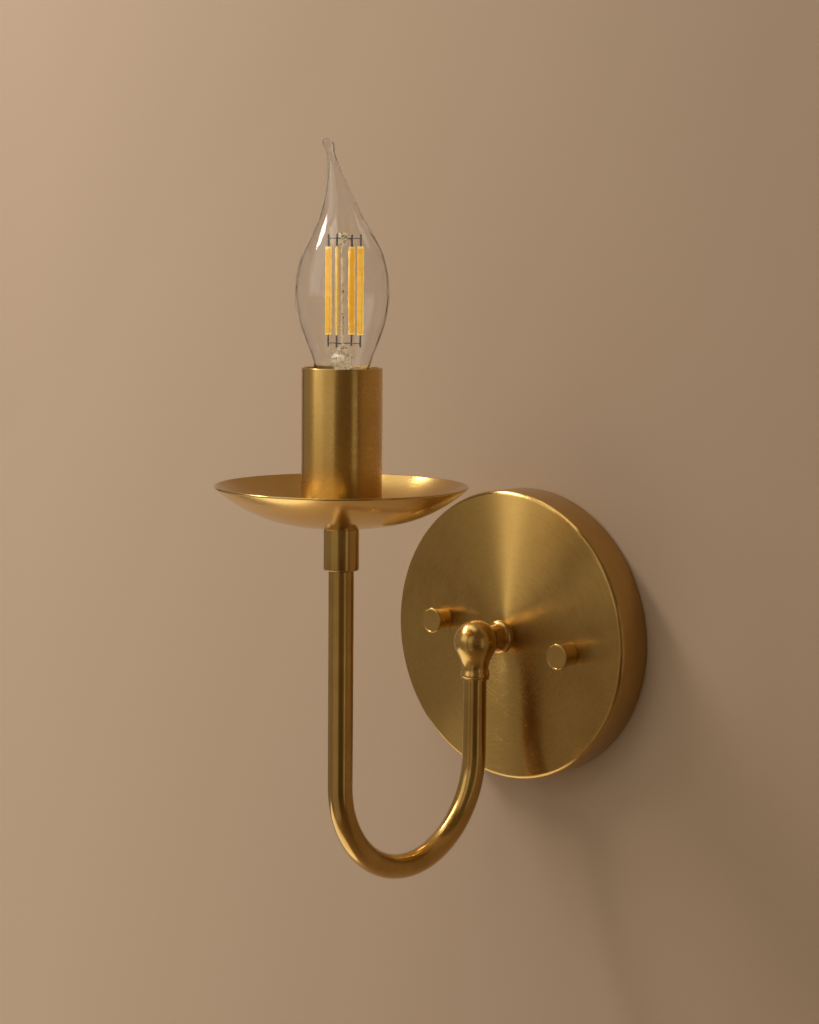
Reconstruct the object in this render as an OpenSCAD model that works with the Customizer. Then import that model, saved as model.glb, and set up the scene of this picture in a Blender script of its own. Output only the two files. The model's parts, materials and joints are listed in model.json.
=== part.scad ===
// Wall sconce with an electric candle: round backplate on a wall strap, ball elbow, U-shaped arm,
// drip dish, candle sleeve, lampholder and a flame-tip filament lamp.
// Origin: centre of the backplate on the wall plane. The room is towards -Y and up is +Z.

/* [Backplate] */
// Outer diameter of the backplate
canopy_d = 119; // [112:1:140]
// How far the backplate stands off the wall
canopy_depth = 16; // [15:0.5:24]
// Sheet thickness of the backplate
canopy_wall = 1.2; // [0.8:0.1:2]
// Outside radius of the backplate's front edge
canopy_edge_r = 2; // [1.5:0.5:4]

/* [Wall strap] */
// Length of the strap that is fixed to the wall box
strap_l = 102; // [98:1:106]
// Width of the strap
strap_w = 18; // [16:1:24]
// Thickness of the strap
strap_t = 1.8; // [1.2:0.1:2.5]
// Tilt of the strap about the wall normal, as it was put up
strap_tilt = 5.6; // [-12:0.2:12]
// Distance between the two wall box screws
box_pitch = 88.9; // [86:0.1:90]
// Diameter of the holes for the wall box screws
box_hole_d = 4.8; // [4.2:0.1:5.5]
// Diameter of the hole in the middle of the strap, for the supply wires
strap_hole_d = 12; // [10:0.5:14]

/* [Thumb screws] */
// Distance between the two thumb screws
thumb_pitch = 67; // [62:1:72]
// Thread diameter of the thumb screws
thumb_thread_d = 4.2; // [3:0.1:5]
// Diameter of the thumb screw's front rim
thumb_rim_d = 10.4; // [9:0.2:14]
// Thickness of the front rim
thumb_rim_t = 1.2; // [0.8:0.2:2]
// Diameter of the thumb screw's barrel
thumb_barrel_d = 9.3; // [7:0.1:9.8]
// Length of the thumb screw's head
thumb_head_l = 8.5; // [6:0.5:12]
// How far the strap's thread collars stand up
thread_collar_h = 1.7; // [1:0.1:2.5]

/* [Elbow] */
// Distance of the elbow's centre from the backplate's face
elbow_gap = 18.5; // [18:0.5:26]
// Diameter of the elbow's ball
ball_d = 17.6; // [17:0.2:20]
// Diameter of the neck below the ball
neck_d = 10.6; // [10.4:0.1:11]
// Diameter of the collar that takes the arm
collar_d = 11.8; // [11.6:0.1:13]
// Distance from the elbow's centre to the collar's end
collar_out = 15.2; // [14.8:0.1:17]
// Diameter of the neck behind the ball
rear_neck_d = 11.6; // [11.2:0.1:12.4]
// Diameter of the bead on the rear neck
bead_d = 14; // [12.6:0.2:15]
// Distance from the elbow's centre to the middle of the bead
bead_out = 14.6; // [13.8:0.1:14.8]

/* [Arm] */
// Outer diameter of the arm tube
tube_d = 9.5; // [9:0.1:9.6]
// Wall of the arm tube
tube_wall = 1; // [0.7:0.1:1.2]
// Distance of the candle's axis from the wall
reach = 111.5; // [105:0.5:130]
// Drop from the elbow's centre to the start of the bend
drop = 45.5; // [30:0.5:70]
// Height of the coupler's lower end above the elbow's centre
riser = 36.5; // [20:0.5:60]
// Outer diameter of the coupler under the dish
coupler_d = 13.2; // [12.4:0.2:16]
// Length of the coupler
coupler_l = 17; // [15:0.5:24]

/* [Nipples and nuts] */
// Outer diameter of the threaded nipple behind the elbow
wall_nipple_d = 8; // [7.6:0.1:8.4]
// Bore of the nipple behind the elbow
wall_nipple_bore = 6; // [5.8:0.1:6.4]
// Outer diameter of the threaded nipple under the lampholder
holder_nipple_d = 10; // [9.4:0.1:10.4]
// Bore of the nipple under the lampholder
holder_nipple_bore = 7.4; // [7:0.1:7.8]
// Width across flats of the nut behind the backplate
wall_nut_af = 13; // [12:0.5:14]
// Thickness of the nut behind the backplate
wall_nut_t = 3; // [2:0.5:3.5]
// Width across flats of the nut in the dish
dish_nut_af = 15; // [14:0.5:17]
// Thickness of the nut in the dish
dish_nut_t = 3; // [2:0.5:3.5]
// Diameter of the washer behind the backplate
washer_d = 18; // [16:0.5:22]
// Thickness of the washer behind the backplate
washer_t = 0.8; // [0.5:0.1:1]

/* [Dish] */
// Outer diameter of the dish at its rim
dish_d = 95.5; // [80:0.5:120]
// Depth of the dish, outside
dish_h = 15; // [12:0.5:20]
// Diameter of the dish's flat floor
dish_floor_d = 20; // [18:1:26]
// Sheet thickness of the dish
dish_wall = 1; // [0.8:0.1:1.5]

/* [Candle sleeve] */
// Outer diameter of the candle sleeve
sleeve_d = 30; // [28:0.5:34]
// Wall of the candle sleeve
sleeve_wall = 1; // [0.6:0.1:1.2]
// Length of the candle sleeve
sleeve_l = 57.2; // [50:0.1:58]

/* [Lampholder] */
// Height of the lamp's centre contact above the dish's floor
lamp_rise = 22.5; // [22:0.5:26]
// Diameter of the lampholder's barrel
barrel_d = 20; // [19:0.5:24]
// Depth of the lampholder's well, from its mouth to the contact
well_h = 16; // [13:0.5:17]
// Thickness of the lampholder's floor
holder_floor = 4.5; // [4:0.5:5]
// Thickness of the bracket that carries the lampholder
bracket_t = 1.6; // [1.2:0.1:2]

/* [Lamp] */
// Largest diameter of the glass
bulb_d = 35; // [32:0.5:36]
// Length of the lamp from its contact to its tip
bulb_l = 118; // [110:1:125]
// Thickness of the glass
glass_wall = 0.8; // [0.6:0.1:1]
// Sideways lean of the flame tip
tip_lean = 5.9; // [0:0.1:8]
// Direction of the lean, as seen from above, from the +X axis
tip_turn = 222.7; // [0:1:360]
// Diameter of the lamp cap's thread
cap_d = 11.8; // [11.5:0.1:12]
// Pitch of the lamp cap's thread
cap_pitch = 2.54; // [2.4:0.02:2.6]
// Diameter of the lamp cap's skirt
skirt_d = 17; // [16:0.2:18]
// Length of one filament stick
filament_l = 32; // [26:0.5:34]
// Width of one flat filament stick
filament_w = 2.3; // [1.5:0.1:3]
// Thickness of one flat filament stick
filament_t = 1; // [0.8:0.1:1.4]
// Diameter of the circle that the filament sticks stand on
filament_ring_d = 12; // [10:0.5:14]

/* [Wiring] */
// Outer diameter of one lead
lead_d = 2.1; // [1.6:0.1:2.4]
// Distance between the two leads inside the arm
lead_pitch = 2.7; // [2.5:0.1:2.8]
// Length of the terminal block along the strap
block_l = 14; // [12:0.5:16]
// Width of the terminal block across the strap
block_w = 16; // [14:0.5:17]
// Height of the terminal block above the strap
block_h = 9; // [8:0.5:9.5]
// Distance between the terminal block's two poles
pole_pitch = 8; // [7.4:0.2:8.6]

/* [Hidden] */
$fn = 64;
// clearance on the radius between round pieces that are fixed together
fit = 0.05;
// clearance on the radius of a running thread
run = 0.06;
// clearance on the radius between the lamp's cap and the screw shell
cap_gap = 0.25;
// clearance on the radius between the candle sleeve and the lampholder
sleeve_gap = 0.3;
// hair gap under pieces that only rest on each other
seat = 0.02;

strap_cut = strap_t + thread_collar_h + 2;
canopy_r = canopy_d / 2;
front_inside = canopy_depth - canopy_wall;
tube_r = tube_d / 2;
wall_nipple_r = wall_nipple_d / 2;
holder_nipple_r = holder_nipple_d / 2;
sleeve_r = sleeve_d / 2;
sleeve_bore_r = sleeve_r - sleeve_wall;

// elbow and arm
elbow_out = canopy_depth + elbow_gap;
ball_r = ball_d / 2;
bead_r = 2.3;
neck_out = 10.4;
rear_neck_out = 9.4;
spigot_r = rear_neck_d / 2 - 0.5;
wire_way_r = 3.4;
socket_depth = 4;
rear_socket = 7;
bend_r = (reach - elbow_out) / 2;
bend_y = -(reach + elbow_out) / 2;
tag_t = 1;
nipple_end = front_inside - washer_t - tag_t - wall_nut_t - 1.2;

// heights above the elbow's centre, on the candle's axis
dish_z = riser + coupler_l;
tube_top = riser + coupler_l / 2;
floor_z = dish_z + dish_wall;
dish_r = dish_d / 2;
dish_floor_r = dish_floor_d / 2;
dish_arc_r = (pow(dish_r - dish_floor_r, 2) + dish_h * dish_h) / (2 * dish_h);
sleeve_out = max(sleeve_r - dish_floor_r, 0);
sleeve_z = dish_z + dish_arc_r - sqrt(pow(dish_arc_r - dish_wall, 2) - pow(sleeve_out, 2)) + seat;
foot_z = floor_z + dish_nut_t;
stud_top = foot_z + bracket_t + 2;
contact_h = 2.4;
lamp_z = floor_z + lamp_rise;
holder_z = lamp_z - contact_h - holder_floor;
well_z = holder_z + holder_floor;
holder_top = lamp_z + well_h;

// lampholder
bracket_arm_w = 9;
bracket_arm_t = 1.2;
bracket_arm_y = barrel_d / 2 - 1.2;
rivet_y = 6;
rivet_r = 1;
rivet_head_r = 1.5;
rivet_head_t = 0.7;
rivet_grip = 3;
flange_t = 2.5;
guide_r = sleeve_bore_r - sleeve_gap;
guide_drop = 7;
shell_t = 0.4;
shell_r = cap_d / 2 + cap_gap;
strip_t = 0.4;
terminal_x = 4.5;
terminal_r = 1;

// lamp: heights are above its contact
insulator_z = 1.2;
cap_z = 3.8;
cap_t = 0.35;
skirt_z = 20;
skirt_top = 25;
glass_z = 21;
neck_r = skirt_d / 2 - cap_t - 0.15;
// up to the widest place: height as a share of the glass, growth from the neck to the belly
glass_low = [[0, 0], [0.05, 0], [0.095, 0.06], [0.144, 0.23], [0.194, 0.38], [0.25, 0.61],
    [0.32, 0.853], [0.388, 0.985], [0.426, 1]];
// above it: height as a share of the glass, radius as a share of the belly
glass_high = [[0.499, 0.96], [0.573, 0.851], [0.634, 0.691], [0.701, 0.497], [0.776, 0.32],
    [0.85, 0.2], [0.899, 0.126], [0.93, 0.1], [0.948, 0.094], [0.96, 0.113], [0.972, 0.126],
    [0.985, 0.11], [0.995, 0.06], [1, 0.02]];
glass_ring_n = 20;
lean_from = 0.573;
filament_z = 47;
filament_turn = 27.7;
post_h = 4.4;
cross_h = 3;
rod_top = filament_z + filament_l + cross_h;
stem_top = 43.5;
stem_ball_z = 37.4;
stem_ball_r = 3.8;
stem_neck_r = 2;
stem_rod_r = 0.7;
stem_bead_r = 2;

// wiring
lead_r = lead_d / 2;
block_x = 10;
wire_plane = strap_t + block_h / 2;
block_screw_r = 1.1;
terminal_screw_r = 1.5;
earth_x = -20;
earth_shank_r = 2;

// ---------- helpers ----------

// stands children on the wall plane, their +Z pointing into the room
module off_wall() rotate([90, 0, 0]) children();

// the same, turned with the tilted strap; +X runs along the strap
module on_strap() rotate([0, strap_tilt, 0]) off_wall() children();

// puts children on the candle's axis
module on_candle(z = 0) translate([0, -reach, z]) children();

// a pipe standing on z = 0
module pipe(r_out, r_in, h) difference() {
    cylinder(r = r_out, h = h);
    translate([0, 0, -1]) cylinder(r = r_in, h = h + 2);
}

// a round bar with a small round on its upper edge
module rounded_bar(r, h, edge) rotate_extrude() {
    square([r, h - edge]);
    square([r - edge, h]);
    translate([r - edge, h - edge]) circle(edge);
}

// half section of a pan that opens downwards, its corner rounded
module pan_section(r, h, edge) {
    square([r, h - edge]);
    square([r - edge, h]);
    translate([r - edge, h - edge]) circle(edge);
}

// hexagon nut on z = 0
module hex_nut(af, h, bore) difference() {
    intersection() {
        cylinder(d = af / cos(30), h = h, $fn = 6);
        cylinder(r1 = af / 2 + h, r2 = af / 2 + 0.3, h = h);
    }
    translate([0, 0, -1]) cylinder(r = bore, h = h + 2);
}

// cheese-head screw with a slot: shank down to -shank, head on z = 0
module slot_screw(head_r, head_h, shank_r, shank) difference() {
    union() {
        rounded_bar(head_r, head_h, 0.3);
        translate([0, 0, -shank]) cylinder(r = shank_r, h = shank + 0.5);
    }
    translate([-head_r - 1, -0.4, head_h * 0.45]) cube([2 * head_r + 2, 0.8, head_h]);
}

function unit(v) = v / norm(v);
function mix(a, b, t) = a + (b - a) * t;
// smooth curve through a list of points: place t between points i and i + 1
function through(p, i, t) = let (
    a = p[max(i - 1, 0)], b = p[i], c = p[i + 1], d = p[min(i + 2, len(p) - 1)])
    0.5 * (2 * b + (c - a) * t + (2 * a - 5 * b + 4 * c - d) * t * t
        + (3 * b - a - 3 * c + d) * t * t * t);
function smooth_path(p, steps) = concat(
    [for (i = [0 : len(p) - 2], s = [0 : steps - 1]) through(p, i, s / steps)], [p[len(p) - 1]]);

// closed skin over rings of points that run anticlockwise about the way from ring to ring
module skin(rings, n) {
    m = len(rings);
    points = [for (r = rings, q = r) q];
    sides = [for (i = [0 : m - 2], j = [0 : n - 1]) let (k = (j + 1) % n)
        each [[i * n + j, (i + 1) * n + j, (i + 1) * n + k], [i * n + j, (i + 1) * n + k, i * n + k]]];
    polyhedron(points = points, faces = concat(
        [[for (j = [0 : n - 1]) j]], sides, [[for (j = [n - 1 : -1 : 0]) (m - 1) * n + j]]));
}

// round wire of radius r along a path; across is a direction that the path never runs in
module wire(path, r, across, n = 8) {
    last = len(path) - 1;
    skin([for (i = [0 : last]) let (
        dir = unit(path[min(i + 1, last)] - path[max(i - 1, 0)]),
        u = unit(cross(dir, across)), v = cross(dir, u))
        [for (j = [0 : n - 1]) path[i] + r * (cos(360 * j / n) * u + sin(360 * j / n) * v)]], n);
}

// a point given along the strap, across it and off the wall, in the part's frame
function strap_point(along, over, off) = [
    along * cos(strap_tilt) + over * sin(strap_tilt),
    -off,
    over * cos(strap_tilt) - along * sin(strap_tilt)];

// ---------- wall side ----------

module mounting_strap() color("silver") on_strap() difference() {
    union() {
        intersection() {
            translate([-strap_l / 2, -strap_w / 2, 0]) cube([strap_l, strap_w, strap_t]);
            cylinder(d = strap_l, h = strap_t);
        }
        for (side = [-1, 1]) translate([side * thumb_pitch / 2, 0, 0])
            cylinder(r = thumb_thread_d / 2 + 1.4, h = strap_t + thread_collar_h);
    }
    for (side = [-1, 1]) {
        translate([side * thumb_pitch / 2, 0, -1]) cylinder(r = thumb_thread_d / 2 + run, h = strap_cut);
        translate([side * box_pitch / 2, 0, -1]) cylinder(d = box_hole_d, h = strap_cut);
    }
    translate([0, 0, -1]) cylinder(d = strap_hole_d, h = strap_cut);
    translate([earth_x, 0, -1]) cylinder(r = earth_shank_r + fit, h = strap_cut);
    translate([block_x + block_l / 2, 0, -1]) cylinder(r = block_screw_r + fit, h = strap_cut);
}

module earth_screw() color("seagreen") on_strap()
    translate([earth_x, 0, strap_t + lead_d + fit])
        slot_screw(4, 2, earth_shank_r, strap_t + lead_d + fit);

module terminal_block() color("ivory") on_strap() translate([block_x, 0, strap_t]) difference() {
    union() {
        translate([0, -block_w / 2, 0]) cube([block_l, block_w, block_h - 2]);
        for (side = [-1, 1]) translate([1, side * pole_pitch / 2 - 2.1, 0]) cube([block_l - 2, 4.2, block_h]);
    }
    // wire ways, screw wells and the fixing hole between the poles
    for (side = [-1, 1]) {
        translate([-1, side * pole_pitch / 2, block_h / 2]) rotate([0, 90, 0])
            cylinder(r = lead_r + 0.15, h = block_l + 2);
        for (end = [0.28, 0.72]) translate([block_l * end, side * pole_pitch / 2, block_h / 2])
            cylinder(r = terminal_screw_r + fit, h = block_h);
    }
    translate([block_l / 2, 0, -1]) cylinder(r = block_screw_r + fit, h = block_h + 2);
}

module terminal_screws() color("silver") on_strap() for (side = [-1, 1], end = [0.28, 0.72])
    translate([block_x + block_l * end, side * pole_pitch / 2, wire_plane + lead_r + 0.2])
        difference() {
            cylinder(r = terminal_screw_r, h = 2.5);
            translate([-2, -0.25, 1.7]) cube([4, 0.5, 2]);
        }

module block_screw() color("silver") on_strap()
    translate([block_x + block_l / 2, 0, strap_t + block_h - 2 + seat])
        slot_screw(1.5, 1.2, block_screw_r, strap_t + block_h - 2);

module canopy() color("#b08d45") on_strap() difference() {
    rotate_extrude() difference() {
        pan_section(canopy_r, canopy_depth, canopy_edge_r);
        translate([0, -1]) pan_section(canopy_r - canopy_wall, front_inside + 1,
            max(canopy_edge_r - canopy_wall, 0.3));
    }
    cylinder(r = wall_nipple_r + fit, h = canopy_depth + 1);
    for (side = [-1, 1]) translate([side * thumb_pitch / 2, 0, 0])
        cylinder(r = thumb_thread_d / 2 + 0.3, h = canopy_depth + 1);
}

// head of a thumb screw, standing on the backplate
module thumb_knob(side) color("#c9a765") on_strap()
    translate([side * thumb_pitch / 2, 0, canopy_depth + seat]) difference() {
        union() {
            cylinder(d = thumb_barrel_d, h = thumb_head_l - thumb_rim_t);
            translate([0, 0, thumb_head_l - thumb_rim_t]) rounded_bar(thumb_rim_d / 2, thumb_rim_t, 0.35);
        }
        translate([0, 0, -1]) cylinder(r = thumb_thread_d / 2 + fit, h = 1 + thumb_head_l * 0.6);
    }

// threaded stud of a thumb screw, from the strap's thread into the head
module thumb_stud(side) color("silver") on_strap()
    translate([side * thumb_pitch / 2, 0, seat])
        cylinder(d = thumb_thread_d, h = canopy_depth + thumb_head_l * 0.6 - seat);

module thumb_knob_left() thumb_knob(-1);
module thumb_knob_right() thumb_knob(1);
module thumb_stud_left() thumb_stud(-1);
module thumb_stud_right() thumb_stud(1);

// ---------- elbow and what holds it ----------

// half section of a neck that leaves the ball: a cone tangent to the ball down to the neck
module neck_section(r, out) {
    far = norm([r, out]);
    at = atan2(out, r) - acos(ball_r / far);
    polygon([[0, 0], [ball_r * cos(at), ball_r * sin(at)], [r, out], [r, out + 2], [0, out + 2]]);
}

// collar for the arm, rounded on both edges and faired into the neck
module collar_section() {
    r = collar_d / 2;
    len = 3.2;
    translate([0, collar_out - len]) {
        square([r - 0.8, len]);
        translate([0, 0.8]) square([r, len - 1.4]);
        translate([r - 0.8, 0.8]) circle(0.8);
        translate([r - 0.6, len - 0.6]) circle(0.6);
        square([r - 0.6, len]);
    }
    square([neck_d / 2, collar_out - 1]);
}

module elbow() color("#b08d45") translate([0, -elbow_out, 0]) difference() {
    union() {
        sphere(d = ball_d);
        mirror([0, 0, 1]) rotate_extrude() {
            neck_section(neck_d / 2, neck_out);
            collar_section();
        }
        // rear neck with its bead, then a spigot that seats on the backplate
        rotate([-90, 0, 0]) rotate_extrude() {
            neck_section(rear_neck_d / 2, rear_neck_out);
            translate([0, rear_neck_out]) square([rear_neck_d / 2, bead_out - rear_neck_out + 1]);
            translate([0, bead_out - bead_r]) square([bead_d / 2 - bead_r, 2 * bead_r]);
            translate([bead_d / 2 - bead_r, bead_out]) circle(bead_r);
            translate([0, bead_out]) square([spigot_r, elbow_gap - bead_out]);
        }
    }
    // socket for the arm, threaded hole for the nipple, and the wire way between them
    translate([0, 0, -collar_out - 1]) cylinder(r = tube_r + fit, h = socket_depth + 1);
    translate([0, 0, -collar_out]) cylinder(r = wire_way_r, h = collar_out);
    rotate([-90, 0, 0]) {
        cylinder(r = wire_way_r, h = elbow_gap);
        translate([0, 0, elbow_gap - rear_socket - 0.5]) cylinder(r = wall_nipple_r + fit, h = 20);
    }
    sphere(r = wire_way_r);
}

module wall_nipple() color("darkkhaki") off_wall() translate([0, 0, nipple_end])
    pipe(wall_nipple_r, wall_nipple_bore / 2, canopy_depth + rear_socket - nipple_end);

module canopy_washer() color("silver") off_wall() translate([0, 0, front_inside - washer_t])
    pipe(washer_d / 2, wall_nipple_r + fit, washer_t);

// ring tag under the lock nut with a lug for the earth lead
module earth_tag() color("silver") on_strap() translate([0, 0, front_inside - washer_t - tag_t]) difference() {
    union() {
        cylinder(d = wall_nut_af, h = tag_t);
        translate([-washer_d / 2 - 5, -2.5, 0]) cube([washer_d / 2 + 5, 5, tag_t]);
    }
    translate([0, 0, -1]) cylinder(r = wall_nipple_r + fit, h = 3);
}

module wall_lock_nut() color("silver") off_wall()
    translate([0, 0, front_inside - washer_t - tag_t - wall_nut_t])
        hex_nut(wall_nut_af, wall_nut_t, wall_nipple_r + fit);

// plastic bush that keeps the leads off the nipple's edge
module nipple_bush() color("dimgray") off_wall() translate([0, 0, nipple_end - 0.8]) {
    bush_r = wall_nipple_bore / 2 - fit;
    pipe(wall_nipple_r, bush_r - 0.35, 0.8);
    pipe(bush_r, bush_r - 0.35, 3.8);
}

// ---------- arm, coupler and dish ----------

module arm_tube() color("#a17c39") {
    translate([0, -elbow_out, -drop]) pipe(tube_r, tube_r - tube_wall, drop - collar_out + socket_depth);
    translate([0, bend_y, -drop]) rotate([-90, 0, 0]) rotate([0, 90, 0]) rotate_extrude(angle = 180)
        translate([bend_r, 0]) difference() {
            circle(tube_r);
            circle(tube_r - tube_wall);
        }
    on_candle(-drop) pipe(tube_r, tube_r - tube_wall, drop + tube_top);
}

module coupler() color("#b08d45") on_candle(riser) difference() {
    rotate_extrude() {
        translate([0, 0.7]) square([coupler_d / 2, coupler_l - 0.7]);
        square([coupler_d / 2 - 0.7, coupler_l]);
        translate([coupler_d / 2 - 0.7, 0.7]) circle(0.7);
    }
    translate([0, 0, -1]) cylinder(r = tube_r + fit, h = coupler_l / 2 + 1);
    translate([0, 0, coupler_l / 2 - 0.01]) cylinder(r = holder_nipple_r + fit, h = coupler_l);
}

module holder_nipple() color("darkkhaki") on_candle(tube_top + 0.2)
    pipe(holder_nipple_r, holder_nipple_bore / 2, stud_top - tube_top - 0.2);

// the dish's inside or outside outline: a flat floor, then one arc up to the rim
module bowl_section(arc_r, floor_t) {
    translate([dish_floor_r, dish_arc_r]) circle(arc_r, $fn = 128);
    translate([0, floor_t]) square([dish_floor_r, dish_h]);
}

module dish() color("#b89750") on_candle(dish_z) difference() {
    rotate_extrude() intersection() {
        difference() {
            bowl_section(dish_arc_r, 0);
            bowl_section(dish_arc_r - dish_wall, dish_wall);
        }
        square([dish_r + 1, dish_h]);
    }
    translate([0, 0, -1]) cylinder(r = holder_nipple_r + fit, h = dish_h);
}

module dish_lock_nut() color("silver") on_candle(floor_z)
    hex_nut(dish_nut_af, dish_nut_t, holder_nipple_r + fit);

// ---------- lampholder ----------

// strap bracket: a threaded foot on the nipple and two arms bent in under the lampholder
module holder_bracket() color("silver") on_candle(foot_z) difference() {
    arm_h = holder_z - foot_z;
    union() {
        cylinder(r = bracket_arm_y, h = bracket_t);
        for (side = [0, 180]) rotate([0, 0, side]) {
            translate([-bracket_arm_w / 2, bracket_arm_y - bracket_arm_t, 0])
                cube([bracket_arm_w, bracket_arm_t, arm_h]);
            translate([-bracket_arm_w / 2, rivet_y - 2, arm_h - bracket_arm_t])
                cube([bracket_arm_w, bracket_arm_y - rivet_y + 2, bracket_arm_t]);
        }
    }
    translate([0, 0, -1]) cylinder(r = holder_nipple_r + fit, h = bracket_t + 2);
    for (side = [-1, 1]) translate([0, side * rivet_y, arm_h / 2]) cylinder(r = rivet_r + fit, h = arm_h);
}

// rivets from the bracket's arms up into the lampholder's base
module bracket_rivets() color("silver") for (side = [-1, 1])
    translate([0, side * rivet_y - reach, holder_z - bracket_arm_t - rivet_head_t]) {
        cylinder(r = rivet_head_r, h = rivet_head_t);
        cylinder(r = rivet_r, h = rivet_head_t + bracket_arm_t + rivet_grip);
    }

// base with the lower guide flange, drilled for the rivets and the terminals
module holder_base() color("#e8e2d2") on_candle(holder_z) difference() {
    union() {
        cylinder(d = barrel_d, h = holder_floor);
        cylinder(r = guide_r, h = flange_t);
    }
    for (side = [-1, 1]) {
        translate([0, side * rivet_y, -1]) cylinder(r = rivet_r + fit, h = 1 + rivet_grip + fit);
        translate([side * terminal_x, 0, -1]) cylinder(r = terminal_r + fit, h = holder_floor + 2);
    }
}

// barrel that stands on the base, with the upper guide flange
module holder_body() color("#e8e2d2") on_candle(well_z) difference() {
    tall = holder_top - well_z;
    union() {
        rounded_bar(barrel_d / 2, tall, 0.8);
        translate([0, 0, tall - guide_drop]) cylinder(r = guide_r, h = flange_t);
    }
    translate([0, 0, -1]) cylinder(r = shell_r + shell_t + fit, h = tall + 2);
}

// smooth shell with a rim on the lampholder's floor, riveted down on one side
module screw_shell() color("goldenrod") on_candle(well_z) difference() {
    union() {
        pipe(shell_r + shell_t, shell_r, holder_top - well_z - 0.5);
        pipe(shell_r + shell_t, terminal_x - 1.4, strip_t);
    }
    translate([-terminal_x, 0, -1]) cylinder(r = terminal_r + fit, h = 3);
    // the live side's rivet passes clear of the shell
    translate([1, -2, -1]) cube([10, 4, 3]);
}

// sprung tongue under the lamp's contact, riveted down at its tail
module centre_contact() color("goldenrod") on_candle(well_z) {
    difference() {
        translate([-2.4, -1.5, 0]) cube([terminal_x + 3.6, 3, strip_t]);
        translate([terminal_x, 0, -1]) cylinder(r = terminal_r + fit, h = 3);
    }
    translate([-2.4, -1.5, 0]) cube([strip_t, 3, contact_h - fit]);
    translate([-2.4, -1.5, contact_h - fit - strip_t]) cube([4.6, 3, strip_t]);
}

// terminal rivets through the lampholder's floor, hollow below to take the leads
module holder_terminals() color("goldenrod") for (side = [-1, 1])
    translate([side * terminal_x, -reach, holder_z - 2]) difference() {
        union() {
            cylinder(r = 2, h = 2);
            cylinder(r = terminal_r, h = 2 + holder_floor + strip_t);
            translate([0, 0, 2 + holder_floor + strip_t]) cylinder(r = 1.3, h = 0.5);
        }
        translate([0, 0, -1]) cylinder(r = lead_r + 0.1, h = 2.5);
    }

// ---------- wiring ----------

function lead_path(side) = concat(
    smooth_path([
        [side * terminal_x, -reach, holder_z - 0.8],
        [side * terminal_x, -reach, holder_z - 3],
        [side * mix(terminal_x, lead_pitch / 2, 0.5), -reach, mix(stud_top, holder_z, 0.2)],
        [side * lead_pitch / 2, -reach, stud_top - 3],
        [side * lead_pitch / 2, -reach, stud_top - 6]], 3),
    [for (a = [0 : 12 : 180]) [side * lead_pitch / 2, bend_y - bend_r * cos(a), -drop - bend_r * sin(a)]],
    [for (a = [0 : 15 : 90]) [side * lead_pitch / 2, -elbow_out + 4 - 4 * cos(a), -4 + 4 * sin(a)]],
    smooth_path([
        [side * lead_pitch / 2, -canopy_depth, 0],
        [side * lead_pitch / 2, -nipple_end, 0],
        strap_point(side * lead_pitch / 2 + 0.1, 0.1 * side, nipple_end - 2),
        strap_point(1.4 + side * lead_pitch / 2, side * 1.4, 4.2),
        strap_point(block_x - 4.6, side * (pole_pitch / 2 - 0.6), 4.2),
        strap_point(block_x - 1, side * pole_pitch / 2, wire_plane),
        strap_point(block_x + 5, side * pole_pitch / 2, wire_plane)], 3));

module lead_line() color("saddlebrown") wire(lead_path(1), lead_r, [1, -1, 0]);
module lead_neutral() color("steelblue") wire(lead_path(-1), lead_r, [1, -1, 0]);

// short earth lead from under the tag's lug to the earth screw
module earth_lead() color("yellowgreen") wire(smooth_path([
    strap_point(-washer_d / 2, 0, front_inside - washer_t - tag_t - 2 * fit - lead_r),
    strap_point(-washer_d / 2 - 3, 0, front_inside - washer_t - tag_t - 2 * fit - lead_r),
    strap_point(-washer_d / 2 - 5.5, 1, front_inside - washer_t - tag_t - 4),
    strap_point(-washer_d / 2 - 4.5, 2.4, strap_t + 5),
    strap_point(earth_x + 4.5, earth_shank_r + lead_r + 0.2, strap_t + lead_r + 0.6),
    strap_point(earth_x, earth_shank_r + lead_r + 0.2, strap_t + lead_r + seat),
    strap_point(earth_x - 4, earth_shank_r + lead_r + 0.2, strap_t + lead_r + seat)], 3),
    lead_r, [0, 0, 1]);

// ---------- candle sleeve and lamp ----------

module candle_sleeve() color("#b89750") on_candle(sleeve_z) difference() {
    rounded_bar(sleeve_r, sleeve_l, 0.3);
    translate([0, 0, -1]) cylinder(r = sleeve_bore_r, h = sleeve_l + 2);
}

// rounded foot with a pin up into the insulator
module bulb_contact() color("lightgray") on_candle(lamp_z) {
    translate([0, 0, insulator_z]) mirror([0, 0, 1]) rounded_bar(2.4, insulator_z, 0.5);
    cylinder(r = 0.8, h = insulator_z + 1.4);
}

module bulb_insulator() color("#202020") on_candle(lamp_z + insulator_z) difference() {
    cylinder(r1 = 2.9, r2 = cap_d / 2 - 0.5, h = cap_z - insulator_z);
    translate([0, 0, -1]) cylinder(r = 0.8 + fit, h = 10);
}

// section of the cap: rounded threads below, a flared skirt above
module cap_section(inset) {
    root = cap_d / 2 - 0.5 - inset;
    translate([0, cap_z]) square([root, 13]);
    for (k = [0 : 3]) translate([cap_d / 2 - 0.8, cap_z + 1.8 + k * cap_pitch]) circle(0.8 - inset);
    polygon([[0, 16], [root, 16], [skirt_d / 2 - inset, skirt_z], [0, skirt_z]]);
    translate([0, skirt_z]) square([skirt_d / 2 - inset, skirt_top - skirt_z]);
}

module bulb_cap() color("silver") on_candle(lamp_z) rotate_extrude() difference() {
    cap_section(0);
    translate([0, -0.4]) cap_section(cap_t);
    translate([0, skirt_z]) square([skirt_d / 2 - cap_t, 20]);
}

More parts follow.
